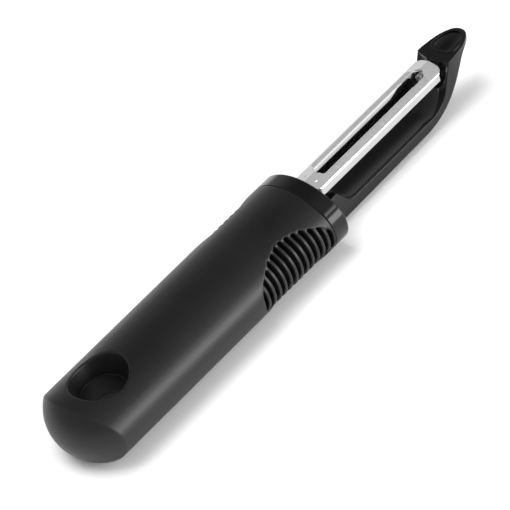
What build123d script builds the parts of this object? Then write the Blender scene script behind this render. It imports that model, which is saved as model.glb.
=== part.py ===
from build123d import *
from math import atan2, degrees, pi, radians, tan
import os

os.makedirs("parts", exist_ok=True)

# A swivel vegetable peeler with a soft oval grip and a bow-shaped guard frame.
# Millimetres. +X runs from the rear of the grip to the tip, +Z is up, and the blade faces up.
# The origin is the bottom centre of the whole tool: it lies on the belly of the grip at Z = 0.
# Places along the guard frame and the blade are measured from the front of the collar,
# or back from the end of the tip where the name says so, and their heights from the middle
# of the grip, or down from the ridge of the blade where the name ends in drop.

# Whole tool
overall_length = 185.0
handle_length = 109.1  # rear end of the grip to the front of the collar
collar_length = 5.7
overrun = 1.0  # how far a cutter runs past the faces it cuts
touching = 0.02  # closer than this counts as lying on a surface
near_edge_share = 0.5  # an edge that leans less than this is taken as upright

# Cross-section of the handle: an oval of tangent arcs with a fuller lower half
handle_half_width = 16.2
handle_top_height = 11.0
handle_top_side_radius = 8.3
handle_belly_height = 10.8
handle_belly_side_radius = 9.7

# Rear end of the grip
dome_radius = 18.3
dome_height_share = 0.85
dome_edge_radius = 1.0
seam_edge_radius = 0.3

# Hanging hole
hole_from_rear = 19.3
eye_radius = 7.0  # bore through the rigid core
sink_waist_step = 0.1  # the soft cone starts this far outside the bore
sink_rim_radius = 9.6
sink_rim_edge_radius = 0.35

# Finned zone on each side of the grip
fin_zone_half_length = 15.9
fin_zone_from_collar = 21.9  # its centre, measured back from the front of the collar
fin_zone_drop = 1.0  # its middle lies this far below the middle of the grip
fin_zone_top_height = 9.2
fin_zone_bottom_height = 8.2
fin_zone_end_radius = 7.0
fin_recess = 0.35
fin_count = 13
fin_pitch = 2.46
fin_gap_width = 1.35
fin_gap_depth = 2.8

# Rigid core inside the grip
core_half_width = 11.0
core_half_height = 3.7
core_edge_radius = 1.2
core_bore_edge_radius = 0.35
sleeve_clearance = 0.1

# Collar
collar_edge_radius = 0.6
root_clearance = 0.05

# Root and tang of the guard frame, inside the collar and the core
root_half_width = 5.0
root_bottom_depth = 6.0
root_top_margin = 0.1  # above the boss that carries the rear pin
root_corner_radius = 1.0
tang_half_height = 2.2
tang_corner_radius = 0.8
tang_length = 40.0
tang_end_chamfer = 0.6

# Guard frame
guard_half_width = 6.35
guard_near_depth = 9.75
guard_far_depth = 8.8
underside_rise_length = 20.7  # part of the underside that slopes up, ending at the tip
guard_turn_radius = 23.0
tip_slope = 45.0  # degrees
tip_height = 7.9
tip_ease_length = 6.4  # last part of the slope, where it eases off
tip_turn_radius = 6.0
tip_end_depth_share = 0.2  # thickness at the very end, as a share of tip_height
tip_length = 13.6  # part in which the sides draw in
# Rows of the outline: place along the tip and half width, as shares of the tip's length
# and of guard_half_width
tip_outline_shares = ((0.33, 0.93), (0.64, 0.78), (0.87, 0.52))
underside_edge_radius = 0.9

# Window between the blade and the bow
floor_depth = 5.1
block_top_height = 1.2
near_wall_top = 6.7
near_foot = 10.9
near_foot_radius = 3.0
far_foot_from_end = 20.7
far_foot_radius = 10.6
far_wall_top_from_end = 13.8

# Trough along the bow: it leaves each end wall of the window gradually
trough_half_width = 5.9
trough_depth = 1.5
trough_near_lead = 2.1
trough_far_lead = 2.3
window_edge_radius = 0.3

# Brow of the tip, bulging towards the blade
brow_bulge = 1.25

# Pivots
pivot_drop = 2.85
pin_radius = 1.2
pin_running_clearance = 0.05
pin_head_radius = 1.7
pin_head_length = 1.3
pin_head_edge_radius = 0.4
pin_end_play = 0.1
rear_pin_grip_length = 6.0
front_pin_grip_length = 4.0
boss_radius = 2.6
boss_length = 0.9
recess_radius = 5.9
recess_face_from_end = 15.4

# Scoop at the tip: a bowl, longer than it is wide, inside a thin raised rim
scoop_length = 9.3
scoop_end_margin = 1.5
scoop_half_width = 4.0
scoop_depth = 2.1
scoop_rim_drop = 0.7  # the bowl still lies this deep under its rim
scoop_deepest_share = 0.28  # its lowest point, as a share of its length
scoop_rim_width = 0.6
scoop_rim_height = 0.25
# Rows: place along the rim and half width, as shares of its length and half width
scoop_outline_shares = ((0.07, 0.72), (0.27, 1.00), (0.60, 0.92), (0.87, 0.62))

# Blade
blade_start = 1.3
blade_end_clearance = 0.4  # to the face of the recess in the tip
blade_half_width = 5.3
blade_edge_half_width = 4.96  # outer edge of the roof
blade_ridge_half_width = 0.6
blade_ridge_height = 7.55
blade_shoulder_drop = 1.17
blade_side_drop = 1.95  # where the rounded shoulder meets the upright wall
blade_skirt_drop = 3.95  # lower edge of the walls
blade_wall = 0.7
blade_plan_radius = 2.6
blade_skirt_radius = 2.4
near_tab_from_end = 2.4

# Slot in the blade and the ground bands beside it
slot_start = 7.2
slot_end_margin = 4.3  # to the end of the blade
slot_half_width = 2.33
slot_near_radius = 0.9
ground_start = 6.4
ground_end_margin = 3.7  # to the end of the blade
ground_edge_drop = 0.8
ground_sweep = 3.0  # the outer edge of a band is this much shorter at each end
chute_wall = 0.6
chute_depth = 4.7
chute_flare = 1.7
chute_corner_radius = 0.6
chute_cut_height = 2.0
chute_cut_length = 2.5

# Places that follow from the sizes
middle_height = handle_belly_height
rear_x = -overall_length / 2
collar_front_x = rear_x + handle_length
grip_front_x = collar_front_x - collar_length
hole_x = rear_x + hole_from_rear
fin_zone_x = collar_front_x - fin_zone_from_collar
frame_length = overall_length - handle_length
frame_top_clear = tip_height + overrun
guard_turn = frame_length - underside_rise_length
tip_turn = frame_length - tip_ease_length
tip_shoulder = frame_length - tip_length
far_foot = frame_length - far_foot_from_end
far_wall_top = frame_length - far_wall_top_from_end
recess_face = frame_length - recess_face_from_end
scoop_start = frame_length - scoop_end_margin - scoop_length
blade_end = recess_face - blade_end_clearance
slot_end = blade_end - slot_end_margin
ground_end = blade_end - ground_end_margin
blade_shoulder_height = blade_ridge_height - blade_shoulder_drop
blade_side_height = blade_ridge_height - blade_side_drop
blade_skirt_height = blade_ridge_height - blade_skirt_drop
ground_edge_height = blade_ridge_height - ground_edge_drop
pivot_height = blade_ridge_height - pivot_drop
root_top_height = pivot_height + boss_radius + root_top_margin
middle_plane = Plane.XY.offset(middle_height)
upright_plane = Plane((collar_front_x, 0, middle_height), x_dir=(1, 0, 0), z_dir=(0, -1, 0))
cross_plane = Plane((collar_front_x, 0, middle_height), x_dir=(0, 1, 0), z_dir=(1, 0, 0))
plan_plane = Plane((collar_front_x, 0, middle_height))


def oval(half_width, top_height, top_side_radius, bottom_height, bottom_side_radius):
    """Closed oval of tangent arcs: each half has its own height and its own side radius."""
    with BuildLine() as outline:
        halves = ((1, top_height, top_side_radius), (-1, bottom_height, bottom_side_radius))
        for up, height, side_radius in halves:
            side_centre = half_width - side_radius
            crown_radius = (side_centre**2 + height**2 - side_radius**2) / (
                2 * (height - side_radius)
            )
            turn = degrees(atan2(crown_radius - height, side_centre))
            quarter = degrees(pi / 2)
            CenterArc((side_centre, 0), side_radius, 0, up * turn)
            CenterArc(
                (0, up * (height - crown_radius)), crown_radius, up * turn, up * (quarter - turn)
            )
        mirror(about=Plane.YZ)
    return outline.edges()


def handle_oval(inset):
    """The handle's cross-section, drawn in all round by the inset."""
    return oval(
        handle_half_width - inset,
        handle_top_height - inset,
        handle_top_side_radius - inset,
        handle_belly_height - inset,
        handle_belly_side_radius - inset,
    )


def scoop_outline(margin):
    """Points round the scoop's outline, drawn out all round by the margin."""
    start = scoop_start - margin
    length = frame_length - scoop_end_margin + margin - start
    side = [
        (start + along * length, across * (scoop_half_width + margin))
        for along, across in scoop_outline_shares
    ]
    other_side = [(along, -across) for along, across in reversed(side)]
    return [(start, 0), *side, (start + length, 0), *other_side]


# The rounded rear end: half an egg with a long straight body
with BuildPart() as egg:
    with BuildSketch(Plane.XY):
        with BuildLine():
            start = (rear_x, 0)
            shoulder = (rear_x + dome_radius, dome_radius)
            RadiusArc(start, shoulder, dome_radius)
            Polyline(shoulder, (collar_front_x, dome_radius), (collar_front_x, 0), start)
        make_face()
    revolve(axis=Axis.X)
    scale(by=(1, 1, dome_height_share), mode=Mode.REPLACE)

# Body of the grip with its rounded rear end, still solid
with BuildPart() as grip_body:
    with BuildSketch(cross_plane.offset(-handle_length)):
        make_face(handle_oval(0))
    extrude(amount=handle_length - collar_length)
    add(egg.part.moved(Location((0, 0, middle_height))), mode=Mode.INTERSECT)
    rear_edges = grip_body.edges().filter_by(lambda edge: edge.center().X < hole_x)
    fillet(rear_edges, dome_edge_radius)
    fillet(grip_body.faces().sort_by(Axis.X)[-1].edges(), seam_edge_radius)

# Layer of the grip that holds the gaps between the fins
with BuildPart() as fin_layer:
    with BuildSketch(cross_plane.offset(-handle_length)):
        Rectangle(2 * (handle_half_width + overrun), 2 * (handle_top_height + overrun))
        make_face(handle_oval(fin_gap_depth), mode=Mode.SUBTRACT)
    extrude(amount=handle_length)

# Thin outer layer that is taken off all over the finned zone
with BuildPart() as recess_layer:
    with BuildSketch(cross_plane.offset(-handle_length)):
        Rectangle(2 * (handle_half_width + overrun), 2 * (handle_top_height + overrun))
        make_face(handle_oval(fin_recess), mode=Mode.SUBTRACT)
    extrude(amount=handle_length)

# Lens-shaped zone seen from the side
with BuildPart() as fin_zone:
    with BuildSketch(upright_plane):
        lens = make_face(
            oval(
                fin_zone_half_length,
                fin_zone_top_height,
                fin_zone_end_radius,
                fin_zone_bottom_height,
                fin_zone_end_radius,
            ),
            mode=Mode.PRIVATE,
        )
        with Locations((-fin_zone_from_collar, -fin_zone_drop)):
            add(lens)
    extrude(amount=handle_half_width + overrun, both=True)

# Shallow recess over each whole zone
with BuildPart() as fin_recesses:
    add(fin_zone.part)
    add(recess_layer.part, mode=Mode.INTERSECT)

# Deep narrow gaps that leave the fins standing
with BuildPart() as fin_gaps:
    with Locations((fin_zone_x, 0, middle_height)):
        with GridLocations(fin_pitch, 0, fin_count, 1):
            Box(fin_gap_width, 2 * (handle_half_width + overrun), 2 * (handle_top_height + overrun))
    add(fin_zone.part, mode=Mode.INTERSECT)
    add(fin_layer.part, mode=Mode.INTERSECT)

# Rigid core without its bore and socket: an eye round the hanging hole and a straight arm
with BuildPart() as core_blank:
    with BuildSketch(middle_plane.offset(-core_half_height)):
        with Locations(((hole_x + grip_front_x) / 2, 0)):
            Rectangle(grip_front_x - hole_x, 2 * core_half_width)
        with Locations((hole_x, 0)):
            Circle(core_half_width)
    extrude(amount=2 * core_half_height)
    core_rims = core_blank.faces().filter_by(Axis.Z).edges()
    fillet(core_rims.filter_by(Axis.Y, reverse=True), core_edge_radius)

# The hollow for the core, larger all round by the sleeve clearance
with BuildPart() as core_room:
    with BuildSketch(middle_plane.offset(-core_half_height - sleeve_clearance)):
        with Locations(((hole_x + grip_front_x + overrun) / 2, 0)):
            Rectangle(grip_front_x + overrun - hole_x, 2 * (core_half_width + sleeve_clearance))
        with Locations((hole_x, 0)):
            Circle(core_half_width + sleeve_clearance)
    extrude(amount=2 * (core_half_height + sleeve_clearance))

# Sunken cone on each side of the hanging hole, with a straight middle
with BuildPart() as sink:
    with BuildSketch(Plane.XZ):
        with BuildLine():
            waist = eye_radius + sink_waist_step
            widening = (sink_rim_radius - waist) / (handle_top_height - core_half_height)
            sink_height = handle_top_height + overrun
            rim = sink_rim_radius + widening * overrun
            corners = [(0, sink_height), (rim, sink_height), (waist, core_half_height)]
            mirrored = [(across, -up) for across, up in reversed(corners)]
            Polyline(*corners, *mirrored, close=True)
        make_face()
    revolve(axis=Axis.Z)

with BuildPart() as soft_grip:
    add(grip_body.part)
    add(sink.part.moved(Location((hole_x, 0, middle_height))), mode=Mode.SUBTRACT)
    sink_rims = soft_grip.faces().filter_by(GeomType.CONE).edges().filter_by(GeomType.BSPLINE)
    fillet(sink_rims, sink_rim_edge_radius)
    add(core_room.part, mode=Mode.SUBTRACT)
    add(fin_recesses.part, mode=Mode.SUBTRACT)
    add(fin_gaps.part, mode=Mode.SUBTRACT)

# Guard frame seen from the side, cut to its outline in plan
with BuildPart() as guard_blank:
    with BuildSketch(upright_plane):
        with BuildLine():
            rise = tip_turn - guard_turn
            foot = (guard_turn, -guard_far_depth)
            ease = (tip_turn, -guard_far_depth + rise * tan(radians(tip_slope)))
            nose = (frame_length, tip_height * (1 - tip_end_depth_share))
            under = FilletPolyline(
                (0, -guard_near_depth), foot, ease, nose, radius=(guard_turn_radius, tip_turn_radius)
            )
            Polyline(nose, (frame_length, tip_height), (0, tip_height), (0, -guard_near_depth))
        make_face()
    extrude(amount=guard_half_width, both=True)
    with BuildSketch(plan_plane.offset(-guard_near_depth - overrun)):
        with BuildLine():
            shoulder_point = (tip_shoulder, guard_half_width)
            side_points = [
                (tip_shoulder + along * tip_length, across * guard_half_width)
                for along, across in tip_outline_shares
            ]
            Spline(shoulder_point, *side_points, (frame_length, 0), tangents=[(1, 0), (0, -1)])
            Polyline(shoulder_point, (-overrun, guard_half_width), (-overrun, 0))
            mirror(about=Plane.XZ)
        make_face()
    extrude(amount=guard_near_depth + tip_height + 2 * overrun, mode=Mode.INTERSECT)
    under_edges = guard_blank.edges().filter_by(
        lambda edge: abs(edge.center().Y) > guard_half_width / 2
        and edge.center().X > collar_front_x + overrun
        and edge.center().Z < middle_height + tip_height - overrun
        and edge.tangent_at(0).cross(Vector(0, 0, 1)).length > near_edge_share
    )
    fillet(under_edges, underside_edge_radius)

# Space between the blade and the bow, seen from the side
with BuildPart() as window:
    with BuildSketch(upright_plane):
        with BuildLine():
            FilletPolyline(
                (near_wall_top, block_top_height),
                (near_foot, -floor_depth),
                (far_foot, -floor_depth),
                (far_wall_top, tip_height),
                radius=(near_foot_radius, far_foot_radius),
            )
            Polyline(
                (far_wall_top, tip_height),
                (far_wall_top, frame_top_clear),
                (-overrun, frame_top_clear),
                (-overrun, block_top_height),
                (near_wall_top, block_top_height),
            )
        make_face()
    extrude(amount=guard_half_width + overrun, both=True)
    brow_radius = (guard_half_width**2 + brow_bulge**2) / (2 * brow_bulge)
    with BuildSketch(plan_plane):
        with Locations((far_wall_top - brow_bulge + brow_radius, 0)):
            Circle(brow_radius)
    extrude(amount=frame_top_clear, mode=Mode.SUBTRACT)

# Hollow that runs along the top of the bow and fades out up both end walls
with BuildPart() as trough:
    with BuildLine(upright_plane) as trough_path:
        FilletPolyline(
            (near_wall_top + trough_near_lead, block_top_height),
            (near_foot, -floor_depth),
            (far_foot, -floor_depth),
            (far_wall_top - trough_far_lead, tip_height),
            radius=(near_foot_radius, far_foot_radius),
        )
    trough_line = trough_path.wires()[0]
    with BuildSketch(Plane(trough_line @ 0, x_dir=(0, 1, 0), z_dir=trough_line % 0)):
        with BuildLine():
            left_edge = (-trough_half_width, 0)
            right_edge = (trough_half_width, 0)
            ThreePointArc(left_edge, (0, -trough_depth), right_edge)
            Polyline(
                right_edge, (trough_half_width, overrun), (-trough_half_width, overrun), left_edge
            )
        make_face()
    sweep(path=trough_line)

# Bowl of the scoop: the bottom of a ring, cut off at the scoop's outline
deepest_x = scoop_start + scoop_length * scoop_deepest_share
with BuildPart() as scoop:
    with BuildSketch(plan_plane.offset(tip_height - scoop_depth)):
        with BuildLine():
            Spline(*scoop_outline(0), periodic=True)
        make_face()
    extrude(amount=scoop_depth + overrun)
    bowl_run = scoop_start + scoop_length - deepest_x
    bowl_rise = scoop_depth - scoop_rim_drop
    bowl_across = (scoop_half_width**2 + bowl_rise**2) / (2 * bowl_rise)
    bowl_along = (bowl_run**2 + bowl_rise**2) / (2 * bowl_rise)
    bowl_centre = Location(
        (collar_front_x + deepest_x, 0, middle_height + tip_height - scoop_depth + bowl_along),
        (90, 0, 0),
    )
    with Locations(bowl_centre):
        Torus(bowl_along - bowl_across, bowl_across, mode=Mode.INTERSECT)

# Raised plate whose edge becomes the rim once the bowl is cut
with BuildPart() as scoop_rim:
    with BuildSketch(plan_plane.offset(tip_height)):
        with BuildLine():
            Spline(*scoop_outline(scoop_rim_width), periodic=True)
        make_face()
    extrude(amount=scoop_rim_height)

with BuildPart() as guard_frame:
    add(guard_blank.part)
    add(window.part, mode=Mode.SUBTRACT)
    add(trough.part, mode=Mode.SUBTRACT)
    window_edges = guard_frame.edges().filter_by(
        lambda edge: abs(abs(edge.center().Y) - guard_half_width) < touching
        and window.part.distance_to(edge.center()) < touching
        and edge.center().X < collar_front_x + tip_shoulder - overrun
    )
    fillet(window_edges, window_edge_radius)
    add(scoop_rim.part)
    add(scoop.part, mode=Mode.SUBTRACT)
    # Root inside the collar, tang inside the core, and the boss that carries the rear pin
    with BuildSketch(cross_plane.offset(-collar_length)):
        with Locations((0, (root_top_height - root_bottom_depth) / 2)):
            RectangleRounded(
                2 * root_half_width, root_top_height + root_bottom_depth, root_corner_radius
            )
    extrude(amount=collar_length)
    with BuildSketch(cross_plane.offset(-collar_length - tang_length)) as tang_outline:
        RectangleRounded(2 * root_half_width, 2 * tang_half_height, tang_corner_radius)
    extrude(amount=tang_length)
    chamfer(guard_frame.faces().sort_by(Axis.X)[0].edges(), tang_end_chamfer)
    with BuildSketch(cross_plane.offset(-overrun)):
        with Locations((0, pivot_height)):
            Circle(boss_radius)
    extrude(amount=boss_length + overrun)
    # Seat round the front pivot that lets the end of the blade swing
    with BuildSketch(cross_plane.offset(far_foot)):
        with Locations((0, pivot_height)):
            Circle(recess_radius)
    extrude(amount=recess_face - far_foot, mode=Mode.SUBTRACT)
    with BuildSketch(cross_plane.offset(boss_length)):
        with Locations((0, pivot_height)):
            Circle(pin_radius)
    extrude(amount=-rear_pin_grip_length, mode=Mode.SUBTRACT)
    with BuildSketch(cross_plane.offset(recess_face - overrun)):
        with Locations((0, pivot_height)):
            Circle(pin_radius)
    extrude(amount=front_pin_grip_length + overrun, mode=Mode.SUBTRACT)

with BuildPart() as grip_core:
    add(core_blank.part)
    with BuildSketch(cross_plane.offset(-collar_length)):
        RectangleRounded(
            2 * (root_half_width + root_clearance),
            2 * (tang_half_height + root_clearance),
            tang_corner_radius,
        )
    extrude(amount=-tang_length - root_clearance, mode=Mode.SUBTRACT)
    with BuildSketch(middle_plane.offset(-core_half_height)):
        with Locations((hole_x, 0)):
            Circle(eye_radius)
    extrude(amount=2 * core_half_height, mode=Mode.SUBTRACT)
    bore_edges = grip_core.edges().filter_by(GeomType.CIRCLE).filter_by(
        lambda edge: abs(edge.radius - eye_radius) < core_bore_edge_radius
    )
    fillet(bore_edges, core_bore_edge_radius)

with BuildPart() as collar:
    with BuildSketch(cross_plane.offset(-collar_length)):
        make_face(handle_oval(0))
        with Locations((0, (root_top_height - root_bottom_depth) / 2)):
            RectangleRounded(
                2 * (root_half_width + root_clearance),
                root_top_height + root_bottom_depth + 2 * root_clearance,
                root_corner_radius,
                mode=Mode.SUBTRACT,
            )
    extrude(amount=collar_length)
    front_rim = collar.faces().sort_by(Axis.X)[-1].outer_wire().edges()
    fillet(front_rim, collar_edge_radius)
    rear_rim = collar.faces().sort_by(Axis.X)[0].outer_wire().edges()
    fillet(rear_rim, seam_edge_radius)

# What grinding takes off the blade: flat bands whose ends run out to points at the middle
with BuildPart() as ground_cut:
    with BuildSketch(cross_plane.offset(ground_start)):
        with BuildLine():
            Polyline(
                (blade_edge_half_width, blade_shoulder_height),
                (slot_half_width, ground_edge_height),
                (-slot_half_width, ground_edge_height),
                (-blade_edge_half_width, blade_shoulder_height),
                (-blade_edge_half_width, frame_top_clear),
                (blade_edge_half_width, frame_top_clear),
                close=True,
            )
        make_face()
    extrude(amount=ground_end - ground_start)
    with BuildSketch(plan_plane):
        with BuildLine():
            Polyline(
                (ground_start, 0),
                (ground_start + ground_sweep, blade_edge_half_width),
                (ground_end - ground_sweep, blade_edge_half_width),
                (ground_end, 0),
                (ground_end - ground_sweep, -blade_edge_half_width),
                (ground_start + ground_sweep, -blade_edge_half_width),
                close=True,
            )
        make_face()
    extrude(amount=frame_top_clear, mode=Mode.INTERSECT)

# Blade: a folded channel cut to its outline in plan and from the side
with BuildPart() as blade:
    with BuildSketch(cross_plane.offset(blade_start)) as channel:
        with BuildLine():
            skirt = (blade_half_width, blade_skirt_height)
            side = (blade_half_width, blade_side_height)
            shoulder = (blade_edge_half_width, blade_shoulder_height)
            crest = (blade_ridge_half_width, blade_ridge_height)
            Line(skirt, side)
            TangentArc(side, shoulder, tangent=(0, 1))
            Polyline(shoulder, crest, (0, blade_ridge_height))
            mirror(about=Plane.YZ)
            Line(skirt, (-blade_half_width, blade_skirt_height))
        make_face()
        with BuildLine():
            inner_skirt = (blade_half_width - blade_wall, blade_skirt_height - overrun)
            inner_side = (blade_half_width - blade_wall, blade_side_height - blade_wall / 2)
            inner_shoulder = (
                blade_edge_half_width - blade_wall,
                blade_shoulder_height - blade_wall / 2,
            )
            inner_crest = (blade_ridge_half_width, blade_ridge_height - blade_wall)
            Polyline(
                inner_skirt,
                inner_side,
                inner_shoulder,
                inner_crest,
                (0, blade_ridge_height - blade_wall),
            )
            mirror(about=Plane.YZ)
            Line(inner_skirt, (-inner_skirt[0], inner_skirt[1]))
        make_face(mode=Mode.SUBTRACT)
    extrude(amount=blade_end - blade_start)
    # Outline in plan with round corners, and from the side with round lower corners
    blade_length = blade_end - blade_start
    blade_middle = (blade_start + blade_end) / 2
    with BuildSketch(plan_plane):
        with Locations((blade_middle, 0)):
            RectangleRounded(blade_length, 2 * blade_half_width, blade_plan_radius)
    extrude(amount=blade_ridge_height + overrun, mode=Mode.INTERSECT)
    with BuildSketch(upright_plane):
        with Locations((blade_middle, blade_ridge_height)):
            RectangleRounded(
                blade_length, 2 * (blade_ridge_height - blade_skirt_height), blade_skirt_radius
            )
    extrude(amount=blade_half_width + overrun, both=True, mode=Mode.INTERSECT)
    # Bands ground flat on both sides of the slot
    add(ground_cut.part, mode=Mode.SUBTRACT)
    # Chute round the slot, spreading slightly towards its lower edge
    chute_middle = (slot_start + slot_end) / 2
    chute_length = slot_end - slot_start
    chute_top = ground_edge_height - chute_wall / 2
    with BuildSketch(plan_plane.offset(chute_top)):
        with Locations((chute_middle, 0)):
            RectangleRounded(
                chute_length + 2 * chute_wall,
                2 * (slot_half_width + chute_wall),
                chute_corner_radius + chute_wall,
            )
    extrude(amount=-chute_depth, taper=-chute_flare)
    with BuildSketch(plan_plane.offset(chute_top)):
        with Locations((chute_middle, 0)):
            RectangleRounded(chute_length, 2 * slot_half_width, chute_corner_radius)
    extrude(amount=-chute_depth, taper=-chute_flare, mode=Mode.SUBTRACT)
    # Its near lower corner cut back, so that it swings clear of the root
    chute_start = slot_start - chute_wall
    chute_foot = chute_top - chute_depth
    with BuildSketch(upright_plane):
        with BuildLine():
            Polyline(
                (chute_start - overrun, chute_foot + chute_cut_height),
                (chute_start, chute_foot + chute_cut_height),
                (chute_start + chute_cut_length, chute_foot),
                (chute_start + chute_cut_length, chute_foot - overrun),
                (chute_start - overrun, chute_foot - overrun),
                close=True,
            )
        make_face()
    extrude(amount=slot_half_width + 2 * chute_wall, both=True, mode=Mode.SUBTRACT)
    # Slot, nearly square at the near end and round at the far end
    with BuildSketch(plan_plane.offset(chute_top - chute_wall)):
        with Locations(((slot_start + slot_end - slot_half_width) / 2, 0)):
            RectangleRounded(
                slot_end - slot_half_width - slot_start, 2 * slot_half_width, slot_near_radius
            )
        with Locations((slot_end - slot_half_width, 0)):
            Circle(slot_half_width)
    extrude(amount=frame_top_clear, mode=Mode.SUBTRACT)
    # Tab folded down inside the near end of the channel
    with BuildSketch(cross_plane.offset(blade_start + near_tab_from_end)):
        with Locations((0, (pivot_height + blade_ridge_height - blade_wall / 2) / 2)):
            Rectangle(2 * slot_half_width, blade_ridge_height - blade_wall / 2 - pivot_height)
        with Locations((0, pivot_height)):
            Circle(slot_half_width)
    extrude(amount=blade_wall)
    # Holes that turn on the pins, through the tab and the far wall of the chute
    for hole_middle in (blade_start + near_tab_from_end, slot_end + chute_wall):
        with BuildSketch(cross_plane.offset(hole_middle)):
            with Locations((0, pivot_height)):
                Circle(pin_radius + pin_running_clearance)
        extrude(amount=overrun, both=True, mode=Mode.SUBTRACT)

# Rear pin, driven forward out of the root, with its head inside the channel
near_tab_face = blade_start + near_tab_from_end + blade_wall + pin_end_play
with BuildPart() as rear_pivot_pin:
    with BuildSketch(cross_plane.offset(boss_length - rear_pin_grip_length)):
        with Locations((0, pivot_height)):
            Circle(pin_radius)
    extrude(amount=near_tab_face + rear_pin_grip_length - boss_length)
    with BuildSketch(cross_plane.offset(near_tab_face)):
        with Locations((0, pivot_height)):
            Circle(pin_head_radius)
    extrude(amount=pin_head_length)
    fillet(rear_pivot_pin.faces().sort_by(Axis.X)[-1].edges(), pin_head_edge_radius)

# Front pin, set in the tip, with its head showing in the far end of the slot
with BuildPart() as front_pivot_pin:
    with BuildSketch(cross_plane.offset(recess_face + front_pin_grip_length)):
        with Locations((0, pivot_height)):
            Circle(pin_radius)
    extrude(amount=slot_end - pin_end_play - recess_face - front_pin_grip_length)
    with BuildSketch(cross_plane.offset(slot_end - pin_end_play)):
        with Locations((0, pivot_height)):
            Circle(pin_head_radius)
    extrude(amount=-pin_head_length)
    fillet(front_pivot_pin.faces().sort_by(Axis.X)[0].edges(), pin_head_edge_radius)

pieces = {
    "soft_grip": soft_grip,
    "grip_core": grip_core,
    "collar": collar,
    "guard_frame": guard_frame,
    "blade": blade,
    "rear_pivot_pin": rear_pivot_pin,
    "front_pivot_pin": front_pivot_pin,
}
for name, piece in pieces.items():
    piece.part.label = name
    export_step(piece.part, f"parts/{name}.step")
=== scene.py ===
import bmesh
import bpy
from mathutils import Matrix, Vector


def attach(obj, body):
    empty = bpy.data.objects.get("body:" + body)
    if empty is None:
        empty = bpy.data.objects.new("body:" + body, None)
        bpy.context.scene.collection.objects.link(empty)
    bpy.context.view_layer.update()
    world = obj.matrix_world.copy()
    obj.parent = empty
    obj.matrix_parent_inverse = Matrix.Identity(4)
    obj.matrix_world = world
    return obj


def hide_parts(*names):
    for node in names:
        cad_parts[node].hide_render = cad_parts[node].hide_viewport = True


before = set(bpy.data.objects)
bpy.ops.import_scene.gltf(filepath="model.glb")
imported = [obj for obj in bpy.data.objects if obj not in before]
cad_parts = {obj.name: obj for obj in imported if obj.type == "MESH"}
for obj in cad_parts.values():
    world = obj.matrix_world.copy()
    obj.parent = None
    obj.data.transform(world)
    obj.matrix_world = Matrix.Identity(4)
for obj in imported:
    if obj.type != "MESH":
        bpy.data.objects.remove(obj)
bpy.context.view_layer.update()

MM = 0.001

# Camera axes in the part's frame, fitted to the edges in the photograph
CAMERA_RIGHT = Vector((0.6455, -0.7185, -0.2588))
CAMERA_BACK = Vector((-0.4250, -0.6196, 0.6599))
CAMERA_DISTANCE = 1200 * MM
CAMERA_NEAR = 0.05
CAMERA_FAR = 20.0
# The point that the camera was fitted to, near the middle of the collar's front
ANCHOR = Vector((15.9, 0.0, 10.8)) * MM
# The anchor stands this far right of and above the middle of the picture
ANCHOR_RIGHT = 15.24 * MM
ANCHOR_UP = 14.56 * MM
PICTURE_PIXELS = 510
PIXELS_PER_MM = 3.37
SENSOR_WIDTH = 36.0

# White surroundings with a darker patch overhead, faded between two cosines
WORLD_STRENGTH = 0.50
DARK_STRENGTH = 0.15
DARK_DIRECTION = (0.425, 0.35, 0.83)
DARK_FADE = (0.80, 0.97)
FLOOR_HALF_SIZE = 6.0
FLOOR_COLOUR = (0.95, 0.95, 0.95, 1)
FLOOR_ROUGHNESS = 0.9
FLOOR_SPECULAR = 0.2
# Rows: name, place, target, width, height, watts, whether it shows in reflections
LIGHTS = (
    ("key", (-0.15, 0.22, 0.96), (0, 0, 0), 0.7, 0.7, 8.5, False),
    ("low", (0.40, -0.85, 0.20), (0, 0, 0.01), 1.0, 0.4, 10.0, True),
    ("strip", (0.40, -0.63, 0.59), (0, 0, 0.01), 0.8, 0.15, 1.6, True),
)

# The two middle values between which a noise runs from its low to its high setting
NOISE_RANGE = (0.3, 0.7)
PLASTIC_EDGE_RADIUS = 0.3 * MM
BEVEL_SAMPLES = 6
SLEEVE_VOXEL = 0.3 * MM
SLEEVE_SMOOTHING = 0.5
SLEEVE_SMOOTH_STEPS = 2
WELD_DISTANCE = 0.001 * MM

# The blade's roof lies above this height
ROOF_BOTTOM = 17.1 * MM
# Bands beside the slot: both ends slant outwards by the sweep times the place across
BAND_START = 23.1 * MM
BAND_END = 72.9 * MM
BAND_SWEEP = 0.6
BAND_INNER = 2.85 * MM
BAND_OUTER = 4.45 * MM
BAND_EDGE_BLUR = 0.05 * MM
# Shares of matt scatter in the steel, and the roughness that grinding adds
# The roof's matt share is painted light: it makes the roof scatter the key lamp, which its
# reflections don't show
ROOF_PAINTED_LIGHT_SHARE = 0.25
BAND_MATT_SHARE = 0.2
BAND_ROUGHNESS = 0.42


def link_object(name, data):
    thing = bpy.data.objects.new(name, data)
    bpy.context.collection.objects.link(thing)
    return thing


def make_camera():
    data = bpy.data.cameras.new("camera")
    data.sensor_width = SENSOR_WIDTH
    data.lens = PIXELS_PER_MM * CAMERA_DISTANCE / MM * SENSOR_WIDTH / PICTURE_PIXELS
    data.clip_start = CAMERA_NEAR
    data.clip_end = CAMERA_FAR
    camera = link_object("camera", data)
    back = CAMERA_BACK.normalized()
    right = (CAMERA_RIGHT - CAMERA_RIGHT.dot(back) * back).normalized()
    up = back.cross(right)
    matrix = Matrix((right, up, back)).transposed().to_4x4()
    matrix.translation = (
        ANCHOR - ANCHOR_RIGHT * right - ANCHOR_UP * up + CAMERA_DISTANCE * back
    )
    camera.matrix_world = matrix
    bpy.context.scene.camera = camera


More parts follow.
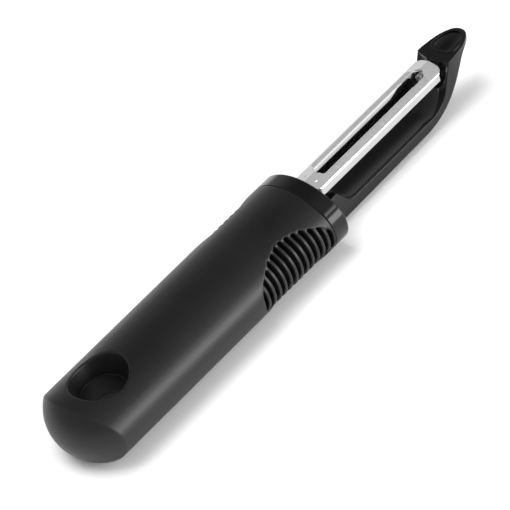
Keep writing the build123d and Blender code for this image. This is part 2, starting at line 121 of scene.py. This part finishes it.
def make_lights():
    for name, place, target, width, height, watts, mirrored in LIGHTS:
        data = bpy.data.lights.new(name, "AREA")
        data.energy = watts
        data.shape = "RECTANGLE"
        data.size = width
        data.size_y = height
        light = link_object(name, data)
        light.location = place
        aim = Vector(target) - Vector(place)
        light.rotation_euler = aim.to_track_quat("-Z", "Y").to_euler()
        light.visible_glossy = mirrored


def make_floor():
    size = FLOOR_HALF_SIZE
    mesh = bpy.data.meshes.new("floor")
    corners = [(-size, -size, 0), (size, -size, 0), (size, size, 0), (-size, size, 0)]
    mesh.from_pydata(corners, [], [(0, 1, 2, 3)])
    floor = link_object("floor", mesh)
    material, nodes, links, shader = new_material("floor")
    shader.inputs["Base Color"].default_value = FLOOR_COLOUR
    shader.inputs["Roughness"].default_value = FLOOR_ROUGHNESS
    shader.inputs["Specular IOR Level"].default_value = FLOOR_SPECULAR
    mesh.materials.append(material)


def make_world():
    world = bpy.data.worlds.new("studio")
    bpy.context.scene.world = world
    world.use_nodes = True
    nodes = world.node_tree.nodes
    links = world.node_tree.links
    background = nodes["Background"]
    background.inputs["Color"].default_value = (1, 1, 1, 1)
    coords = nodes.new("ShaderNodeTexCoord")
    facing = nodes.new("ShaderNodeVectorMath")
    facing.operation = "DOT_PRODUCT"
    facing.inputs[1].default_value = DARK_DIRECTION
    links.new(coords.outputs["Generated"], facing.inputs[0])
    strength = remap(
        nodes, links, facing.outputs["Value"], WORLD_STRENGTH, DARK_STRENGTH, DARK_FADE
    )
    links.new(strength, background.inputs["Strength"])


def new_material(name):
    material = bpy.data.materials.new(name)
    material.use_nodes = True
    nodes = material.node_tree.nodes
    return material, nodes, material.node_tree.links, nodes["Principled BSDF"]


def noise(nodes, links, scale, detail, stretch=(1, 1, 1)):
    coords = nodes.new("ShaderNodeTexCoord")
    mapping = nodes.new("ShaderNodeMapping")
    mapping.inputs["Scale"].default_value = stretch
    texture = nodes.new("ShaderNodeTexNoise")
    texture.inputs["Scale"].default_value = scale
    texture.inputs["Detail"].default_value = detail
    links.new(coords.outputs["Object"], mapping.inputs["Vector"])
    links.new(mapping.outputs["Vector"], texture.inputs["Vector"])
    return texture.outputs["Fac"]


def remap(nodes, links, value, low, high, span=NOISE_RANGE):
    """Runs from low to high while the value runs through the span."""
    node = nodes.new("ShaderNodeMapRange")
    node.inputs["From Min"].default_value = span[0]
    node.inputs["From Max"].default_value = span[1]
    node.inputs["To Min"].default_value = low
    node.inputs["To Max"].default_value = high
    links.new(value, node.inputs["Value"])
    return node.outputs["Result"]


def mix_colours(nodes, links, factor, first, second):
    """Each colour is three numbers or another node's output."""
    node = nodes.new("ShaderNodeMix")
    node.data_type = "RGBA"
    links.new(factor, node.inputs[0])
    for socket, colour in zip(node.inputs[6:8], (first, second)):
        if isinstance(colour, tuple):
            socket.default_value = (*colour, 1)
        else:
            links.new(colour, socket)
    return node.outputs[2]


def math_node(nodes, links, operation, first, second):
    """Each operand is a number or another node's output."""
    node = nodes.new("ShaderNodeMath")
    node.operation = operation
    for socket, value in zip(node.inputs, (first, second)):
        if isinstance(value, (int, float)):
            socket.default_value = value
        else:
            links.new(value, socket)
    return node.outputs["Value"]


def place_in_part(nodes, links):
    """Outputs that hold the shaded point's X, Y and Z in the part's frame."""
    coords = nodes.new("ShaderNodeTexCoord")
    split = nodes.new("ShaderNodeSeparateXYZ")
    links.new(coords.outputs["Object"], split.inputs["Vector"])
    return split.outputs


def add_bump(nodes, links, shader, height, strength, distance, edge_radius=0):
    bump = nodes.new("ShaderNodeBump")
    bump.inputs["Strength"].default_value = strength
    bump.inputs["Distance"].default_value = distance
    links.new(height, bump.inputs["Height"])
    if edge_radius:
        bevel = nodes.new("ShaderNodeBevel")
        bevel.samples = BEVEL_SAMPLES
        bevel.inputs["Radius"].default_value = edge_radius
        links.new(bevel.outputs["Normal"], bump.inputs["Normal"])
    links.new(bump.outputs["Normal"], shader.inputs["Normal"])


def soft_rubber():
    material, nodes, links, shader = new_material("soft_rubber")
    grain = noise(nodes, links, scale=2600, detail=3)
    cloud = noise(nodes, links, scale=60, detail=2)
    colour = mix_colours(nodes, links, cloud, (0.004, 0.004, 0.0042), (0.007, 0.007, 0.0073))
    links.new(colour, shader.inputs["Base Color"])
    links.new(remap(nodes, links, cloud, 0.38, 0.44), shader.inputs["Roughness"])
    shader.inputs["Specular IOR Level"].default_value = 0.38
    add_bump(nodes, links, shader, grain, strength=0.22, distance=0.03 * MM)
    return material


def hard_plastic(name, colour_low, colour_high, rough_low, rough_high):
    material, nodes, links, shader = new_material(name)
    grain = noise(nodes, links, scale=1800, detail=2)
    cloud = noise(nodes, links, scale=90, detail=2)
    colour = mix_colours(nodes, links, cloud, colour_low, colour_high)
    links.new(colour, shader.inputs["Base Color"])
    links.new(remap(nodes, links, cloud, rough_low, rough_high), shader.inputs["Roughness"])
    shader.inputs["Specular IOR Level"].default_value = 0.32
    add_bump(nodes, links, shader, grain, 0.08, 0.02 * MM, PLASTIC_EDGE_RADIUS)
    return material


def pin_steel():
    material, nodes, links, shader = new_material("pin_steel")
    streaks = noise(nodes, links, scale=900, detail=3)
    shader.inputs["Metallic"].default_value = 1.0
    colour = mix_colours(nodes, links, streaks, (0.5, 0.51, 0.52), (0.6, 0.61, 0.62))
    links.new(colour, shader.inputs["Base Color"])
    links.new(remap(nodes, links, streaks, 0.25, 0.32), shader.inputs["Roughness"])
    add_bump(nodes, links, shader, streaks, strength=0.05, distance=0.01 * MM)
    return material


def ground_bands(nodes, links):
    """One on the two bands that are ground flat beside the slot, nought elsewhere."""
    along, across, height = place_in_part(nodes, links)
    across = math_node(nodes, links, "ABSOLUTE", across, 0.0)
    sweep = math_node(nodes, links, "MULTIPLY", across, BAND_SWEEP)
    from_start = math_node(nodes, links, "SUBTRACT", along, sweep)
    to_end = math_node(nodes, links, "ADD", along, sweep)
    limits = (
        (across, 1, 0, BAND_OUTER),
        (from_start, 0, 1, BAND_START),
        (to_end, 1, 0, BAND_END),
        (height, 0, 1, ROOF_BOTTOM),
        (across, 0, 1, BAND_INNER),
    )
    mask = 1.0
    for value, low, high, edge in limits:
        span = (edge - BAND_EDGE_BLUR, edge + BAND_EDGE_BLUR)
        part = remap(nodes, links, value, low, high, span)
        mask = math_node(nodes, links, "MULTIPLY", mask, part)
    return mask


def blade_steel():
    """Polished walls, a roof with painted light in its lighter, partly matt colour, and ground
    bands with marks across them.
    """
    material, nodes, links, shader = new_material("blade_steel")
    mask = ground_bands(nodes, links)
    height = place_in_part(nodes, links)["Z"]
    roof = math_node(nodes, links, "GREATER_THAN", height, ROOF_BOTTOM)
    # Painted light: the roof is partly matt so that it scatters the key lamp, which its
    # reflections don't show
    roof_painted_light = math_node(nodes, links, "MULTIPLY", roof, ROOF_PAINTED_LIGHT_SHARE)
    band_matt = math_node(nodes, links, "MULTIPLY", mask, BAND_MATT_SHARE)
    matt = math_node(nodes, links, "ADD", roof_painted_light, band_matt)
    links.new(math_node(nodes, links, "SUBTRACT", 1.0, matt), shader.inputs["Metallic"])

    marks = noise(nodes, links, scale=2300, detail=2, stretch=(1, 0.12, 0.12))
    streaks = noise(nodes, links, scale=700, detail=2, stretch=(0.05, 1, 1))
    cloud = noise(nodes, links, scale=120, detail=2)
    ground = mix_colours(nodes, links, marks, (0.30, 0.30, 0.31), (0.74, 0.74, 0.75))
    walls = mix_colours(nodes, links, cloud, (0.52, 0.51, 0.52), (0.57, 0.56, 0.57))
    # Painted light: the roof's colour is lighter than the walls' to stand in for the key
    # lamp's reflection
    roof_painted_light_colour = mix_colours(nodes, links, cloud, (0.88, 0.87, 0.88), (0.94, 0.93, 0.94))
    walls_and_painted_roof = mix_colours(nodes, links, roof, walls, roof_painted_light_colour)
    colour = mix_colours(nodes, links, mask, walls_and_painted_roof, ground)
    links.new(colour, shader.inputs["Base Color"])

    polish = remap(nodes, links, streaks, 0.03, 0.06)
    grinding = math_node(nodes, links, "MULTIPLY", mask, BAND_ROUGHNESS)
    rough = math_node(nodes, links, "ADD", polish, grinding)
    links.new(rough, shader.inputs["Roughness"])
    scratches = math_node(nodes, links, "MULTIPLY", marks, mask)
    add_bump(nodes, links, shader, scratches, strength=0.5, distance=0.02 * MM)
    return material


def dress(node, material):
    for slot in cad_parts[node].material_slots:
        slot.material = material


def moulded_sleeve(material):
    """The soft sleeve, remeshed finely so that its edges are softly rounded."""
    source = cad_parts["soft_grip"]
    mesh = bpy.data.meshes.new("grip_sleeve")
    shape = bmesh.new()
    shape.from_mesh(source.data)
    bmesh.ops.remove_doubles(shape, verts=shape.verts, dist=WELD_DISTANCE)
    shape.transform(source.matrix_world)
    shape.to_mesh(mesh)
    shape.free()
    sleeve = link_object("grip_sleeve", mesh)
    remesh = sleeve.modifiers.new("remesh", "REMESH")
    remesh.mode = "VOXEL"
    remesh.voxel_size = SLEEVE_VOXEL
    soften = sleeve.modifiers.new("soften", "SMOOTH")
    soften.factor = SLEEVE_SMOOTHING
    soften.iterations = SLEEVE_SMOOTH_STEPS
    graph = bpy.context.evaluated_depsgraph_get()
    finished = bpy.data.meshes.new_from_object(sleeve.evaluated_get(graph))
    sleeve.modifiers.clear()
    sleeve.data = finished
    finished.materials.clear()
    finished.materials.append(material)
    finished.shade_smooth()
    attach(sleeve, "handle")
    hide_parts("soft_grip")


bpy.context.scene.view_settings.view_transform = "Standard"
make_camera()
make_floor()
make_world()
make_lights()

shiny = hard_plastic("hard_plastic", (0.003, 0.003, 0.003), (0.005, 0.005, 0.0052), 0.13, 0.17)
dull = hard_plastic("core_plastic", (0.005, 0.005, 0.005), (0.008, 0.008, 0.008), 0.45, 0.55)
dress("collar", shiny)
dress("guard_frame", shiny)
dress("grip_core", dull)
moulded_sleeve(soft_rubber())
dress("blade", blade_steel())
pins = pin_steel()
dress("rear_pivot_pin", pins)
dress("front_pivot_pin", pins)
